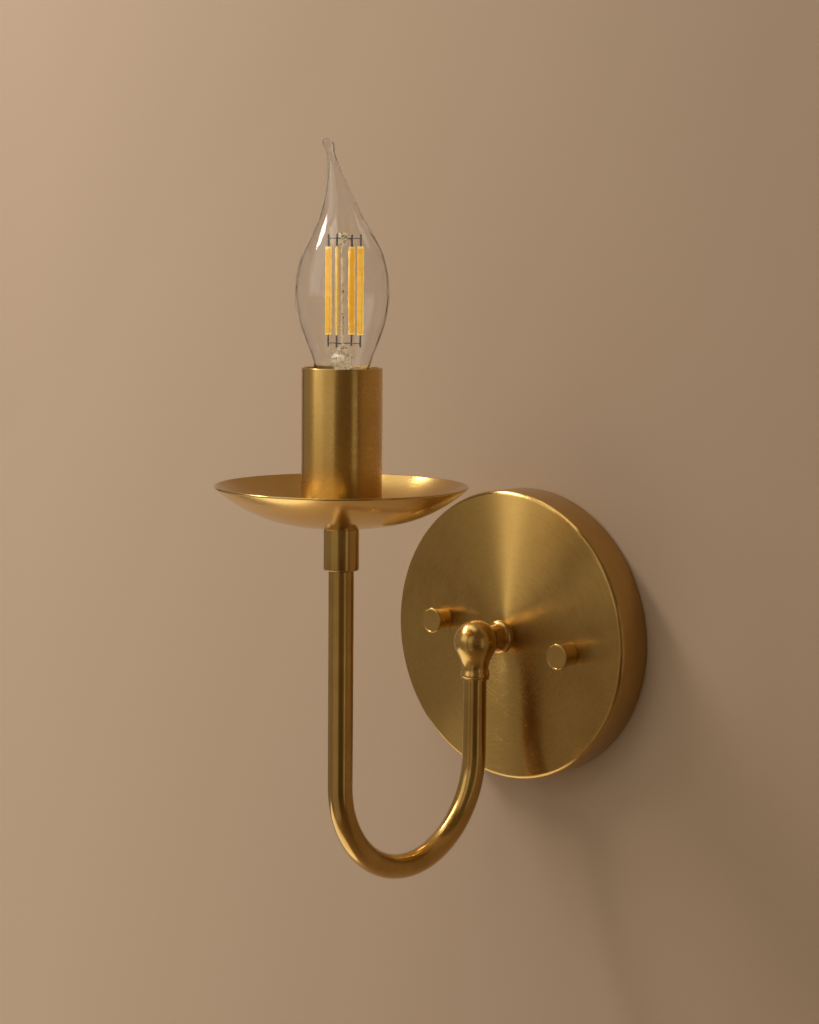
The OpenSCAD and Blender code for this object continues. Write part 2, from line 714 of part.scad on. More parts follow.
// outline of the glass as [radius, height] from its open end to the tip
glass_curve = [for (p = smooth_path(concat(
        [for (q = glass_low) [neck_r + q[1] * (bulb_d / 2 - neck_r), q[0]]],
        [for (q = glass_high) [q[1] * bulb_d / 2, q[0]]]), 2))
    [p[0], glass_z + p[1] * (bulb_l - glass_z)]];
lean_z = glass_z + lean_from * (bulb_l - glass_z);
glass_lap = glass_wall / 2;
glass_radius = [for (p = glass_curve) [p[1], p[0]]];
glass_body = concat([for (p = glass_curve) if (p[1] < lean_z - glass_lap) p],
    [for (z = [lean_z, lean_z + glass_lap]) [lookup(z, glass_radius), z]]);
glass_tip = concat([[lookup(lean_z, glass_radius), lean_z]],
    [for (p = glass_curve) if (p[1] > lean_z + glass_lap) p]);
glass_hollow = [for (p = glass_tip) if (p[0] > glass_wall * 7 / 3) p];

function lean_at(z) = tip_lean * pow(max((z - lean_z) / (bulb_l - lean_z), 0), 2);
function ring_at(p, inset) = let (r = (p[0] - inset) * 2 / (1 + cos(180 / glass_ring_n)))
    [for (j = [0 : glass_ring_n - 1]) let (a = 360 * j / glass_ring_n)
        [lean_at(p[1]) * cos(tip_turn) + r * cos(a), lean_at(p[1]) * sin(tip_turn) + r * sin(a), p[1]]];

// round body, then a tip that leans sideways, hollow up to its thin end
module bulb_glass() color("azure", 0.35) on_candle(lamp_z) {
    last = len(glass_body) - 1;
    rotate_extrude() polygon(concat(glass_body,
        [for (i = [last : -1 : 0]) [glass_body[i][0] - glass_wall, glass_body[i][1]]]));
    difference() {
        skin([for (p = glass_tip) ring_at(p, 0)], glass_ring_n);
        skin([for (p = glass_hollow) ring_at([p[0], p[1] - 0.001], glass_wall)], glass_ring_n);
    }
}

// flared glass stem with a ball, a neck and a thin rod that ends in a bead
module bulb_stem() color("azure", 0.5) on_candle(lamp_z) rotate_extrude() {
    foot_r = neck_r - glass_wall - fit;
    polygon([[0, glass_z + 1], [foot_r, glass_z + 1], [foot_r, glass_z + 1.8], [4.2, glass_z + 5],
        [stem_ball_r - 1, stem_ball_z - 3], [stem_neck_r, stem_ball_z + 3], [stem_neck_r, stem_top - 1.5],
        [stem_rod_r, stem_top], [stem_rod_r, rod_top], [0, rod_top]]);
    for (ball = [[stem_ball_z, stem_ball_r], [rod_top, stem_bead_r]])
        translate([0, ball[0]]) intersection() {
            circle(ball[1]);
            translate([0, -ball[1]]) square(2 * ball[1]);
        }
}

// stiff wires from the stem's rod to the posts at both ends of each filament stick
module bulb_wires() color("dimgray") on_candle(lamp_z) for (k = [0 : 3], top = [false, true])
    rotate([0, 0, filament_turn + 90 * k]) {
        start = top ? stem_bead_r : stem_rod_r;
        translate([start, 0, top ? rod_top : filament_z - cross_h]) rotate([0, 90, 0])
            cylinder(r = 0.2, h = filament_ring_d / 2 - start);
        translate([filament_ring_d / 2, 0, top ? filament_z + filament_l : filament_z - post_h])
            cylinder(r = 0.35, h = post_h);
    }

// flat sticks that stand edge on to the rod
module bulb_filaments() color("orange") on_candle(lamp_z) for (k = [0 : 3])
    rotate([0, 0, filament_turn + 90 * k])
        translate([(filament_ring_d - filament_w) / 2, -filament_t / 2, filament_z])
            cube([filament_w, filament_t, filament_l]);

mounting_strap();
earth_screw();
terminal_block();
terminal_screws();
block_screw();
canopy();
thumb_knob_left();
thumb_stud_left();
thumb_knob_right();
thumb_stud_right();
elbow();
wall_nipple();
canopy_washer();
earth_tag();
wall_lock_nut();
nipple_bush();
earth_lead();
arm_tube();
coupler();
holder_nipple();
dish();
dish_lock_nut();
holder_bracket();
bracket_rivets();
holder_base();
holder_body();
screw_shell();
centre_contact();
holder_terminals();
lead_line();
lead_neutral();
candle_sleeve();
bulb_contact();
bulb_insulator();
bulb_cap();
bulb_glass();
bulb_stem();
bulb_wires();
bulb_filaments();
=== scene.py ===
"""Looks of the electric candle wall sconce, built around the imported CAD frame."""
import json
import math

import bmesh
import bpy
from mathutils import Matrix, Vector, noise


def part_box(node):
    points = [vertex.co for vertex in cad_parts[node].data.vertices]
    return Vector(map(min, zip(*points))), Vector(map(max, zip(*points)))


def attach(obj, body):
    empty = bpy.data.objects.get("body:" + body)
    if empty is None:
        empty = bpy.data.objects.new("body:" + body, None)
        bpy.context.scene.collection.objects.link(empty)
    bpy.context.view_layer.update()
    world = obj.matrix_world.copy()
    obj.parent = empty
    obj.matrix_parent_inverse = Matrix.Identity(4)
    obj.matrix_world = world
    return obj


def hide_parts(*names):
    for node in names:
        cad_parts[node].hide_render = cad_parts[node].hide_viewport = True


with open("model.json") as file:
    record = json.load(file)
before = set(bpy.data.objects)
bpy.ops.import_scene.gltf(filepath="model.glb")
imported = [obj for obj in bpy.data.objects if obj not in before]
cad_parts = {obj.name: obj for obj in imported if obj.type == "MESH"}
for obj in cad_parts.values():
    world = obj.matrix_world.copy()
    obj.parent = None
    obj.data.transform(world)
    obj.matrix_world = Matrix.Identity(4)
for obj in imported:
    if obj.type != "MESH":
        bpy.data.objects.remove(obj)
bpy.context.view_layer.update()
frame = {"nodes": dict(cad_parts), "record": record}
scene = bpy.context.scene
MM = 0.001


def level(angle):
    """Level direction at an angle from +X."""
    return Vector((math.cos(angle), math.sin(angle), 0))


# ---------------------------------------------------------------- camera

IMAGE_H = 1024
FOCAL_PX = 2000
SENSOR = 36                         # along the picture's height, its longer side
CAMERA_AT = Vector((0.5179, -0.6360, 0.1441))
AZIMUTH, PITCH, ROLL = (math.radians(a) for a in (42.675, 6.611, 0.491))
RIGHT = level(AZIMUTH)


def make_camera():
    ahead = Vector((-math.sin(AZIMUTH), math.cos(AZIMUTH), 0))
    forward = ahead * math.cos(PITCH) - Vector((0, 0, math.sin(PITCH)))
    up = ahead * math.sin(PITCH) + Vector((0, 0, math.cos(PITCH)))
    x = RIGHT * math.cos(ROLL) + up * math.sin(ROLL)
    y = up * math.cos(ROLL) - RIGHT * math.sin(ROLL)
    data = bpy.data.cameras.new("camera")
    data.sensor_width = SENSOR
    data.lens = FOCAL_PX * SENSOR / IMAGE_H
    data.clip_start, data.clip_end = 0.01, 50
    cam = bpy.data.objects.new("camera", data)
    scene.collection.objects.link(cam)
    m = Matrix((x, y, -forward)).transposed().to_4x4()
    m.translation = CAMERA_AT
    cam.matrix_world = m
    scene.camera = cam


make_camera()
scene.view_settings.view_transform = "Standard"

# ---------------------------------------------------------------- places from the frame


def centre(node):
    lo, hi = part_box(node)
    return (lo + hi) / 2


def size(node):
    lo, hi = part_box(node)
    return hi - lo


def heights(node):
    """Lowest and highest point of a CAD node, in mm."""
    lo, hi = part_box(node)
    return lo.z / MM, hi.z / MM


PLATE_R = 59.5 * MM
SCREW_REACH = 33.5                  # mm from the middle of the backplate to a thumb screw
TILT = math.radians(5.6)            # of the line through both thumb screws
CANDLE = Vector((0, centre("candle_sleeve").y, 0))
TUBE_R = size("arm_tube").x / 2
ELBOW_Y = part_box("elbow")[0].y + size("elbow").x / 2
SOCKET = -11.4                      # where the arm ends inside the elbow, mm
DISH_BORE = 5.05
LAMP_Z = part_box("bulb_contact")[0].z

# ---------------------------------------------------------------- mesh helpers

SHARP = 35                          # edges sharper than this many degrees stay hard


def smooth(mesh, sharp):
    for p in mesh.polygons:
        p.use_smooth = True
    mesh.set_sharp_from_angle(angle=math.radians(sharp))


def link(name, mesh, sharp):
    smooth(mesh, sharp)
    obj = bpy.data.objects.new(name, mesh)
    scene.collection.objects.link(obj)
    return obj


def from_bm(name, bm, sharp=SHARP):
    bmesh.ops.remove_doubles(bm, verts=bm.verts, dist=1e-7)
    bmesh.ops.recalc_face_normals(bm, faces=bm.faces)
    mesh = bpy.data.meshes.new(name)
    bm.to_mesh(mesh)
    bm.free()
    return link(name, mesh, sharp)


def rounded(points, steps=5):
    """Rounds corners of an outline. Points are (r, z), or (r, z, radius) where a corner is round,
    in mm."""
    out = []
    for i, p in enumerate(points):
        here = Vector(p[:2])
        radius = p[2] if len(p) > 2 else 0
        if not radius:
            out.append(tuple(here))
            continue
        a = (Vector(points[i - 1][:2]) - here).normalized()
        b = (Vector(points[(i + 1) % len(points)][:2]) - here).normalized()
        half = math.acos(max(-1, min(1, a.dot(b)))) / 2
        back = radius / math.tan(half)
        mid = here + (a + b).normalized() * (radius / math.sin(half))
        start, end = here + a * back - mid, here + b * back - mid
        turn = start.angle_signed(end)
        for k in range(steps + 1):
            t = -turn * k / steps
            out.append(tuple(mid + Vector((start.x * math.cos(t) - start.y * math.sin(t),
                                           start.x * math.sin(t) + start.y * math.cos(t)))))
    return out


def arc(r, z, radius, start, end, steps):
    """Points of an arc about (r, z), from one angle in degrees to another."""
    return [(r + radius * math.cos(t), z + radius * math.sin(t))
            for t in (math.radians(start + (end - start) * k / steps) for k in range(steps + 1))]


def lathe_bm(profile, segments, closed):
    """Turns an outline of (r, z) in mm about Z. Points with r = 0 become one pole."""
    bm = bmesh.new()
    rings = []
    for r, z in profile:
        if r < 1e-6:
            rings.append([bm.verts.new((0, 0, z * MM))])
        else:
            rings.append([bm.verts.new((r * MM * math.cos(2 * math.pi * j / segments),
                                        r * MM * math.sin(2 * math.pi * j / segments), z * MM))
                          for j in range(segments)])
    pairs = list(zip(rings, rings[1:]))
    if closed:
        pairs.append((rings[-1], rings[0]))
    for a, b in pairs:
        for j in range(segments):
            k = (j + 1) % segments
            if len(a) == 1:
                bm.faces.new((a[0], b[j], b[k]))
            elif len(b) == 1:
                bm.faces.new((a[j], b[0], a[k]))
            else:
                bm.faces.new((a[j], b[j], b[k], a[k]))
    return bm


OUT = Matrix.Rotation(math.radians(90), 4, "X")        # turns +Z of a lathe into the room
IN = Matrix.Rotation(math.radians(-90), 4, "X")        # and towards the wall


def lathe(name, profile, at=(0, 0, 0), turn=None, segments=160, closed=True):
    """A turned piece. A profile that isn't closed starts and ends on the axis."""
    bm = lathe_bm(profile, segments, closed)
    bm.transform(Matrix.Translation(Vector(at)) @ (turn or Matrix.Identity(4)))
    return from_bm(name, bm)


def apply_boolean(obj, tool, operation):
    """Cuts the tool from a piece, or joins it on, and removes the tool."""
    mod = obj.modifiers.new("boolean", "BOOLEAN")
    mod.operation, mod.solver, mod.object = operation, "EXACT", tool
    mesh = bpy.data.meshes.new_from_object(obj.evaluated_get(bpy.context.evaluated_depsgraph_get()))
    obj.modifiers.clear()
    obj.data = mesh
    smooth(mesh, SHARP)
    bpy.data.objects.remove(tool)


def sweep_bm(path, radius, across, segments):
    """A round bar along a path that lies in the plane square to `across`."""
    bm = bmesh.new()
    rings = []
    last = len(path) - 1
    for i, p in enumerate(path):
        ahead = (path[min(i + 1, last)] - path[max(i - 1, 0)]).normalized()
        u = ahead.cross(across).normalized()
        v = ahead.cross(u)
        rings.append([bm.verts.new(p + radius * (math.cos(2 * math.pi * j / segments) * u
                                                 + math.sin(2 * math.pi * j / segments) * v))
                      for j in range(segments)])
    for i in range(last):
        for j in range(segments):
            k = (j + 1) % segments
            bm.faces.new((rings[i][j], rings[i][k], rings[i + 1][k], rings[i + 1][j]))
    bm.faces.new(rings[0][::-1])
    bm.faces.new(rings[-1])
    return bm


# ---------------------------------------------------------------- materials


class Nodes:
    """Small helper that adds and links shader nodes."""

    def __init__(self, name):
        self.mat = bpy.data.materials.new(name)
        self.mat.use_nodes = True
        self.tree = self.mat.node_tree
        self.tree.nodes.clear()
        self.out = self.tree.nodes.new("ShaderNodeOutputMaterial")

    def add(self, kind, **values):
        """A new node; values go to its settings or, by name with _ for a space, to its sockets."""
        node = self.tree.nodes.new("ShaderNode" + kind)
        for key, value in values.items():
            if hasattr(node, key):
                setattr(node, key, value)
            else:
                self.put(node, key, value)
        return node

    def put(self, node, key, value):
        """Sets a socket, known by its index or name, or links another socket to it."""
        socket = node.inputs[key] if isinstance(key, int) else next(
            s for s in node.inputs if s.name.replace(" ", "_") == key and s.enabled)
        if isinstance(value, bpy.types.NodeSocket):
            self.tree.links.new(value, socket)
        else:
            socket.default_value = value

    def math(self, operation, a, b, c=None, clamp=False):
        node = self.add("Math", operation=operation, use_clamp=clamp)
        for i, v in enumerate((a, b, c)):
            if v is not None:
                self.put(node, i, v)
        return node.outputs[0]

    def vec(self, operation, a, b=None):
        node = self.add("VectorMath", operation=operation)
        self.put(node, 0, a)
        if b is not None:
            self.put(node, 1, b)
        return node.outputs["Value" if operation == "LENGTH" else "Vector"]

    def mix(self, factor, a, b):
        node = self.add("Mix", data_type="RGBA")
        for i, v in ((0, factor), (6, a), (7, b)):
            self.put(node, i, v)
        return node.outputs[2]

    def fade(self, value, start, end, first=0.0, last=1.0):
        """Runs from first to last while value runs from start to end, and holds beyond them."""
        node = self.add("MapRange", clamp=True)
        for i, v in enumerate((value, start, end, first, last)):
            self.put(node, i, v)
        return node.outputs[0]

    def noise(self, vector, scale, detail=2.0, rough=0.5):
        return self.add("TexNoise", Vector=vector, Scale=scale, Detail=detail,
                        Roughness=rough).outputs[0]

    def coords(self):
        return self.add("TexCoord").outputs["Object"]

    def split(self, vector):
        """X, Y and Z of a vector."""
        return self.add("SeparateXYZ", Vector=vector).outputs

    def bump(self, height, distance, strength=1.0, normal=None):
        node = self.add("Bump", Height=height, Distance=distance, Strength=strength)
        if normal is not None:
            self.put(node, "Normal", normal)
        return node.outputs[0]

    def blend(self, factor, a, b):
        """The material's surface, between two shaders."""
        mix = self.add("MixShader")
        for i, v in enumerate((factor, a.outputs[0], b.outputs[0])):
            self.put(mix, i, v)
        self.surface(mix)

    def surface(self, shader):
        self.put(self.out, "Surface", shader.outputs[0])


def col(r, g, b):
    return (r, g, b, 1)


BRASS = (0.60, 0.376, 0.106)
STAIN = (0.72, 0.66, 0.5)           # what a full stain leaves of the brass's colour
LACQUER, LACQUER_IOR = 0.33, 1.5


def ring_marks(n, p, centre, keep, pitch, length):
    """Texture place of brush marks round the axis that keep has 0 for, and the direction out from it.
    pitch is the marks' spacing in mm, length the share of a turn that they last."""
    radial = n.vec("MULTIPLY", n.vec("SUBTRACT", p, tuple(centre)), keep)
    outward = n.vec("NORMALIZE", radial)
    scale = tuple((1 - k) * 1000 / pitch for k in keep)
    distance = n.vec("LENGTH", radial)
    out = n.vec("MULTIPLY", n.add("CombineXYZ", X=distance, Y=distance, Z=distance).outputs[0], scale)
    round_it = n.vec("MULTIPLY", outward, (1 / length,) * 3)
    along = n.vec("MULTIPLY", p, scale)
    return n.vec("ADD", n.vec("ADD", round_it, out), along), outward


def brass(name, rough, centre=None, keep=(1, 1, 0), marks=(), aniso=0.0, upright=False, bump=0.0,
          grain=0.0, patina=0.35, worn=None, tint=1.0, coat=0.15, painted_underside=None):
    """Aged lacquered brass.

    rough, tint, coat     roughness and brightness of the metal, roughness of the lacquer
    centre, keep, marks   brush marks round the axis that keep has 0 for: (pitch, length, depth) each
    aniso, upright        how far highlights are drawn out, along Z or else along the radius
    bump, grain, patina   relief of the brush marks, fine unevenness, and strength of the stains
    worn                  function that changes the roughness of worn places
    painted_underside     colour of the side that faces down, painted lighter for the light it catches from below
    """
    grainy, cloudy, dirt = 0.12, 0.05, 9
    n = Nodes(name)
    p = n.coords()
    base = tuple(c * tint for c in BRASS)
    dark = tuple(c * s for c, s in zip(base, STAIN))
    cloud = n.fade(n.noise(p, 55, 4, 0.6), 0.4, 0.66)
    colour = n.mix(n.math("MULTIPLY", cloud, patina), col(*base), col(*dark))
    # painted light: the side that faces down gets a lighter colour, for the light it catches from below
    if painted_underside is not None:
        facing = n.split(n.add("TexCoord").outputs["Normal"])["Z"]
        colour = n.mix(n.math("LESS_THAN", facing, 0.0), colour, col(*painted_underside))
    fine = n.noise(p, 1100, 3, 0.65)
    roughness = n.math("MULTIPLY_ADD", fine, grainy, rough - grainy / 2)
    roughness = n.math("MULTIPLY_ADD", cloud, cloudy, roughness)
    height = None
    outward = None
    for pitch, length, depth in marks:
        track, outward = ring_marks(n, p, centre, keep, pitch, length)
        lines = n.noise(track, 1.0, 3, 0.7)
        roughness = n.math("MULTIPLY_ADD", n.math("SUBTRACT", lines, 0.5), depth, roughness)
        deep = n.math("SUBTRACT", lines, 0.48, clamp=True)
        colour = n.mix(n.math("MULTIPLY", deep, depth * dirt, clamp=True), colour, col(*dark))
        if bump:
            height = n.bump(lines, bump * pitch * MM, 1.0, height)
    if worn is not None:
        roughness = worn(n, p, roughness)
    if grain:
        height = n.bump(n.noise(p, 1500, 3, 0.7), grain * MM, 0.7, height)
        height = n.bump(n.noise(p, 160, 2, 0.5), grain * 4 * MM, 0.5, height)
    bsdf = n.add("BsdfPrincipled", Metallic=1.0, Base_Color=colour, Roughness=roughness,
                 Coat_Weight=LACQUER, Coat_Roughness=coat, Coat_IOR=LACQUER_IOR)
    if height is not None:
        n.put(bsdf, "Normal", height)
    if aniso:
        n.put(bsdf, "Anisotropic", aniso)
        n.put(bsdf, "Tangent", n.add("CombineXYZ", Z=1.0).outputs[0] if upright else outward)
    n.surface(bsdf)
    return n.mat


def plate_wear(n, p, roughness):
    """The backplate's finish is smoother below its middle, and its front edge is worn bright."""
    smoother, least, bright = 0.17, 0.21, 0.2
    below = n.fade(n.split(p)["Z"], -0.03, 0.015, 1.0, 0.0)
    roughness = n.math("MAXIMUM", n.math("MULTIPLY_ADD", below, -smoother, roughness), least)
    radius = n.vec("LENGTH", n.vec("MULTIPLY", p, (1, 0, 1)))
    edge = n.fade(radius, PLATE_R - 1.6 * MM, PLATE_R - 1.1 * MM)
    return n.math("MULTIPLY_ADD", edge, n.math("SUBTRACT", bright, roughness), roughness)


def plain(name, colour, rough, metallic=0.0, grain=600, bump=0.01):
    """Plain plastic, plating or paint with a slight grain and tone change."""
    tone, grainy = 0.12, 0.16
    n = Nodes(name)
    p = n.coords()
    fine = n.noise(p, grain, 3, 0.6)
    slow = n.noise(p, 60, 2)
    dark = tuple(c * (1 - tone) for c in colour)
    n.surface(n.add("BsdfPrincipled", Metallic=metallic,
                    Base_Color=n.mix(slow, col(*colour), col(*dark)),
                    Roughness=n.math("MULTIPLY_ADD", fine, grainy, rough - grainy / 2),
                    Normal=n.bump(fine, bump * MM, 0.7)))
    return n.mat


def blown_glass(name, waves, wave_scale, density):
    """Clear glass with uneven walls. waves is the depth of the unevenness, which is drawn out upwards;
    density is how strongly the glass tints what is seen through it."""
    n = Nodes(name)
    p = n.coords()
    drawn = n.vec("MULTIPLY", p, (1, 1, 0.35))
    slow = n.bump(n.noise(drawn, wave_scale), waves * MM)
    fine = n.bump(n.noise(drawn, wave_scale * 5, 2, 0.6), waves * 0.12 * MM, 1.0, slow)
    bsdf = n.add("BsdfPrincipled", Roughness=0.03, IOR=1.47, Transmission_Weight=1.0, Normal=fine,
                 Base_Color=n.mix(n.noise(p, 30, 1), col(1, 1, 1), col(0.985, 0.985, 0.98)))
    # it throws hardly any shadow
    n.blend(n.add("LightPath").outputs["Is Shadow Ray"], bsdf,
            n.add("BsdfTransparent", Color=col(0.97, 0.97, 0.97)))
    n.put(n.out, "Volume",
          n.add("VolumeAbsorption", Color=col(0.7, 0.66, 0.6), Density=density).outputs[0])
    return n.mat


def crackled_glass(name):
    """Glass full of fine cracks: pale flakes between clear facets, the flakes with a faint painted
    glow.
    """
    fineness = 750.0
    n = Nodes(name)
    p = n.coords()
    cracks = n.add("TexVoronoi", feature="DISTANCE_TO_EDGE", Vector=p, Scale=fineness)
    facets = n.add("TexVoronoi", feature="F1", Vector=p, Scale=fineness)
    clear = n.add("BsdfPrincipled", Roughness=0.04, IOR=1.5, Transmission_Weight=1.0,
                  Normal=n.bump(facets.outputs["Distance"], 0.5 * MM))
    # the flakes glow faintly: painted light, standing in for the sparkle of light caught in the cracks
    flake = n.add("BsdfPrincipled", Roughness=0.3, Base_Color=col(0.95, 0.82, 0.6),
                  Emission_Color=col(1.0, 0.76, 0.42), Emission_Strength=0.25)
    on_crack = n.fade(cracks.outputs["Distance"], 0.0, 0.1, 0.6, 0.0)
    on_facet = n.fade(n.split(facets.outputs["Color"])["X"], 0.6, 0.75, 0.0, 0.4)
    n.blend(n.math("MAXIMUM", on_crack, on_facet), clear, flake)
    return n.mat


def phosphor(name, colour, edge):
    """Amber coat of a filament stick: chips show through as slightly darker beads. The coat glows
    faintly, which is painted light.
    """
    n = Nodes(name)
    p = n.coords()
    beads = n.noise(n.vec("MULTIPLY", p, (0.2, 0.2, 1)), 700)
    shade = n.mix(n.fade(beads, 0.35, 0.7), col(*colour), col(*edge))
    # painted light: a faint glow that brightens the sticks
    n.surface(n.add("BsdfPrincipled", Roughness=0.45, Base_Color=shade, Subsurface_Weight=0.1,
                    Subsurface_Radius=(0.002, 0.001, 0.0004), Subsurface_Scale=0.5,
                    Emission_Color=shade, Emission_Strength=0.42, Normal=n.bump(beads, 0.03 * MM)))
    return n.mat


# colour, roughness, metallic, grain scale, relief
PLAIN = {
    "zinc_plate": ((0.52, 0.52, 0.5), 0.42, 1.0, 300, 0.01),
    "green_screw": ((0.05, 0.28, 0.1), 0.4, 0.6),
    "terminal_plastic": ((0.78, 0.76, 0.7), 0.5),
    "contact_brass": ((0.7, 0.52, 0.24), 0.3, 1.0, 400, 0.006),
    "holder_plastic": ((0.72, 0.68, 0.58), 0.55, 0.0, 250, 0.02),
    "black_plastic": ((0.02, 0.02, 0.02), 0.45),
    "lead_insulation": ((0.72, 0.71, 0.66), 0.45),
    "earth_insulation": ((0.12, 0.36, 0.08), 0.45),
    "lamp_cap": ((0.7, 0.7, 0.68), 0.28, 1.0, 300, 0.006),
    "lamp_wire": ((0.16, 0.15, 0.14), 0.4, 0.8, 500, 0.004),
}
MATERIALS = {name: plain(name, *look) for name, look in PLAIN.items()}
MATERIALS.update({
    "backplate_brass": brass(
        "backplate_brass", 0.37, (0, 0, 0), (1, 0, 1), ((1.3, 0.11, 0.16), (0.5, 0.2, 0.12)),
        aniso=0.93, bump=0.035, patina=0.3, worn=plate_wear, tint=0.9),
    "polished_brass": brass("polished_brass", 0.2, grain=0.012, patina=0.5),
    # the dish's inside is painted darker by its tint and its underside lighter: painted shade inside,
    # painted light below
    "dish_brass": brass(
        "dish_brass", 0.17, CANDLE, (1, 1, 0), ((2.2, 0.3, 0.05),),
        aniso=0.3, grain=0.0015, tint=0.84, painted_underside=(0.8, 0.535, 0.17)),
    "sleeve_brass": brass(
        "sleeve_brass", 0.28, CANDLE, (1, 1, 0), ((0.9, 0.12, 0.12), (3.0, 0.5, 0.06)),
        aniso=0.85, upright=True, bump=0.006, grain=0.003, tint=1.07),
    "tube_brass": brass("tube_brass", 0.19, grain=0.004, patina=0.6, tint=0.91, coat=0.1),
    "lamp_glass": blown_glass("lamp_glass", 0.28, 85, 60.0),
    "filament": phosphor("filament", (0.80, 0.455, 0.035), (0.75, 0.37, 0.02)),
})
STEM_GLASS = crackled_glass("stem_glass")
CAST_BRASS = brass("cast_brass", 0.23, grain=0.014, patina=0.6)
FILAMENT_CORE = phosphor("filament_core", (0.9, 0.66, 0.2), (0.86, 0.58, 0.14))

for node_name, obj in frame["nodes"].items():
    slot = next(s["material_slot"] for s in frame["record"]["subparts"] if s["node"] == node_name)
    obj.data.materials.clear()
    obj.data.materials.append(MATERIALS[slot])


def dress(obj, slot, body, *nodes, material=None):
    """Gives a piece its material and body, and hides the CAD nodes it stands for."""
    obj.data.materials.clear()
    obj.data.materials.append(material or MATERIALS[slot])
    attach(obj, body)
    if nodes:
        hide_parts(*nodes)


# ---------------------------------------------------------------- backplate and thumb screws


def on_strap(side):
    """Place of a thumb screw, on the tilted line of the strap behind: side is -1 left, 1 right."""
    return Vector((math.cos(TILT), 0, -math.sin(TILT))) * side * SCREW_REACH * MM


def backplate():
    """A shallow pan with a rounded front edge, open to the wall."""
    r, depth, wall = PLATE_R / MM, -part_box("canopy")[0].y / MM, 1.2
    bore, hole, edge = 4.05, 2.4, 2.0
    plate = lathe("backplate", rounded([
        (bore, depth), (r, depth, edge), (r, 0, 0.25), (r - wall, 0, 0.25),
        (r - wall, depth - wall, edge - wall), (bore, depth - wall)], 10), turn=OUT, segments=256)
    for side in (-1, 1):
        drill = [(0, depth - 3), (hole, depth - 3), (hole, depth + 1), (0, depth + 1)]
        apply_boolean(plate, lathe("hole", drill, on_strap(side), OUT, 48, False), "DIFFERENCE")
    dress(plate, "backplate_brass", "fixture", "canopy")


def thumb_knob(word, side):
    """Head of a thumb screw: a barrel that ends in a wider rim with a sunk face."""
    barrel, rim, rim_l, sunk = 4.65, 5.2, 1.3, 0.12
    node = "thumb_knob_" + word
    back = -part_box(node)[1].y / MM
    front = back + size(node).y / MM
    knob = lathe(node + "_turned", rounded([
        (0, back), (barrel - 0.3, back), (barrel, back + 0.35, 0.15),
        (barrel, front - rim_l - 0.25, 0.1), (barrel + 0.2, front - rim_l - 0.05),
        (rim, front - rim_l, 0.15), (rim, front, 0.3), (barrel, front, 0.1),
        (barrel - 0.15, front - sunk, 0.1), (0, front - sunk)]), on_strap(side), OUT, 96, False)
    dress(knob, "polished_brass", "knob_" + word, node)


backplate()
thumb_knob("left", -1)
thumb_knob("right", 1)

# ---------------------------------------------------------------- elbow, arm, coupler, dish, sleeve


def elbow():
    """Cast ball with a collar below and a bead towards the backplate."""
    ball = size("elbow").x / 2 / MM
    nipple, socket = 4.02, 4.8
    lower = [(0, ball)] + arc(0, 0, ball, 86, -18, 26)
    # from the ball into the neck, a flare, the collar's two small beads and the arm's socket
    lower += [(7.5, -4.7), (6.7, -6.3), (6.0, -7.8), (5.6, -9.2), (5.42, -10.3), (5.4, -11.0),
              (5.5, -11.7), (5.75, -12.5), (5.98, -13.2), (6.0, -13.7), (5.85, -14.15), (5.62, -14.4),
              (5.6, -14.5), (5.75, -14.62), (5.8, -14.85), (5.75, -15.1), (5.4, -15.2),
              (socket, -15.2), (socket, SOCKET), (0, SOCKET)]
    back = [(0, 0), (7.0, 0), (7.0, 5.0), (6.6, 6.4), (6.1, 7.8), (5.75, 9.2), (5.6, 10.4),
            (5.62, 11.4), (5.75, 12.1)]
    back += arc(4.75, 14.6, 2.25, -58, 70, 16)
    back += [(5.3, 16.85), (5.3, 18.5), (nipple, 18.5), (nipple, 11.5), (0, 11.5)]
    at = (0, ELBOW_Y, 0)
    body = lathe("elbow_cast", lower, at, segments=128, closed=False)
    apply_boolean(body, lathe("rear", back, at, IN, 128, False), "UNION")
    dress(body, "polished_brass", "fixture", "elbow", material=CAST_BRASS)


def arm():
    """Tube that goes down from the elbow, round a half circle and up to the candle."""
    down, up, bend = 16, 30, 72                        # steps of each stretch
    low, high = (z * MM for z in heights("arm_tube"))
    radius = abs(CANDLE.y - ELBOW_Y) / 2
    middle = (ELBOW_Y + CANDLE.y) / 2
    centre_z = low + TUBE_R + radius
    top = SOCKET * MM
    path = [Vector((0, ELBOW_Y, top + (centre_z - top) * k / down)) for k in range(down)]
    path += [Vector((0, middle + radius * math.cos(a), centre_z - radius * math.sin(a)))
             for a in (math.pi * k / bend for k in range(bend + 1))]
    path += [Vector((0, CANDLE.y, centre_z + (high - centre_z) * (k + 1) / up)) for k in range(up)]
    tube = from_bm("arm_swept", sweep_bm(path, TUBE_R, Vector((1, 0, 0)), 64))
    dress(tube, "tube_brass", "fixture", "arm_tube")


def coupler():
    """Turned socket between the arm and the dish, with a groove below its top."""
    r, socket, groove = 6.6, 4.8, 6.42
    low, high = heights("coupler")
    step = low + 8.5                                    # the socket's end
    piece = lathe("coupler_turned", rounded([
        (socket, step), (socket, low, 0.1), (socket + 0.5, low, 0.2), (r, low + 0.5, 0.5),
        (r, high - 1.3, 0.1), (groove, high - 1.1), (groove, high - 0.9), (r, high - 0.7, 0.1),
        (r, high, 0.05), (DISH_BORE, high), (DISH_BORE, step)]), CANDLE, segments=128)
    dress(piece, "tube_brass", "fixture", "coupler")


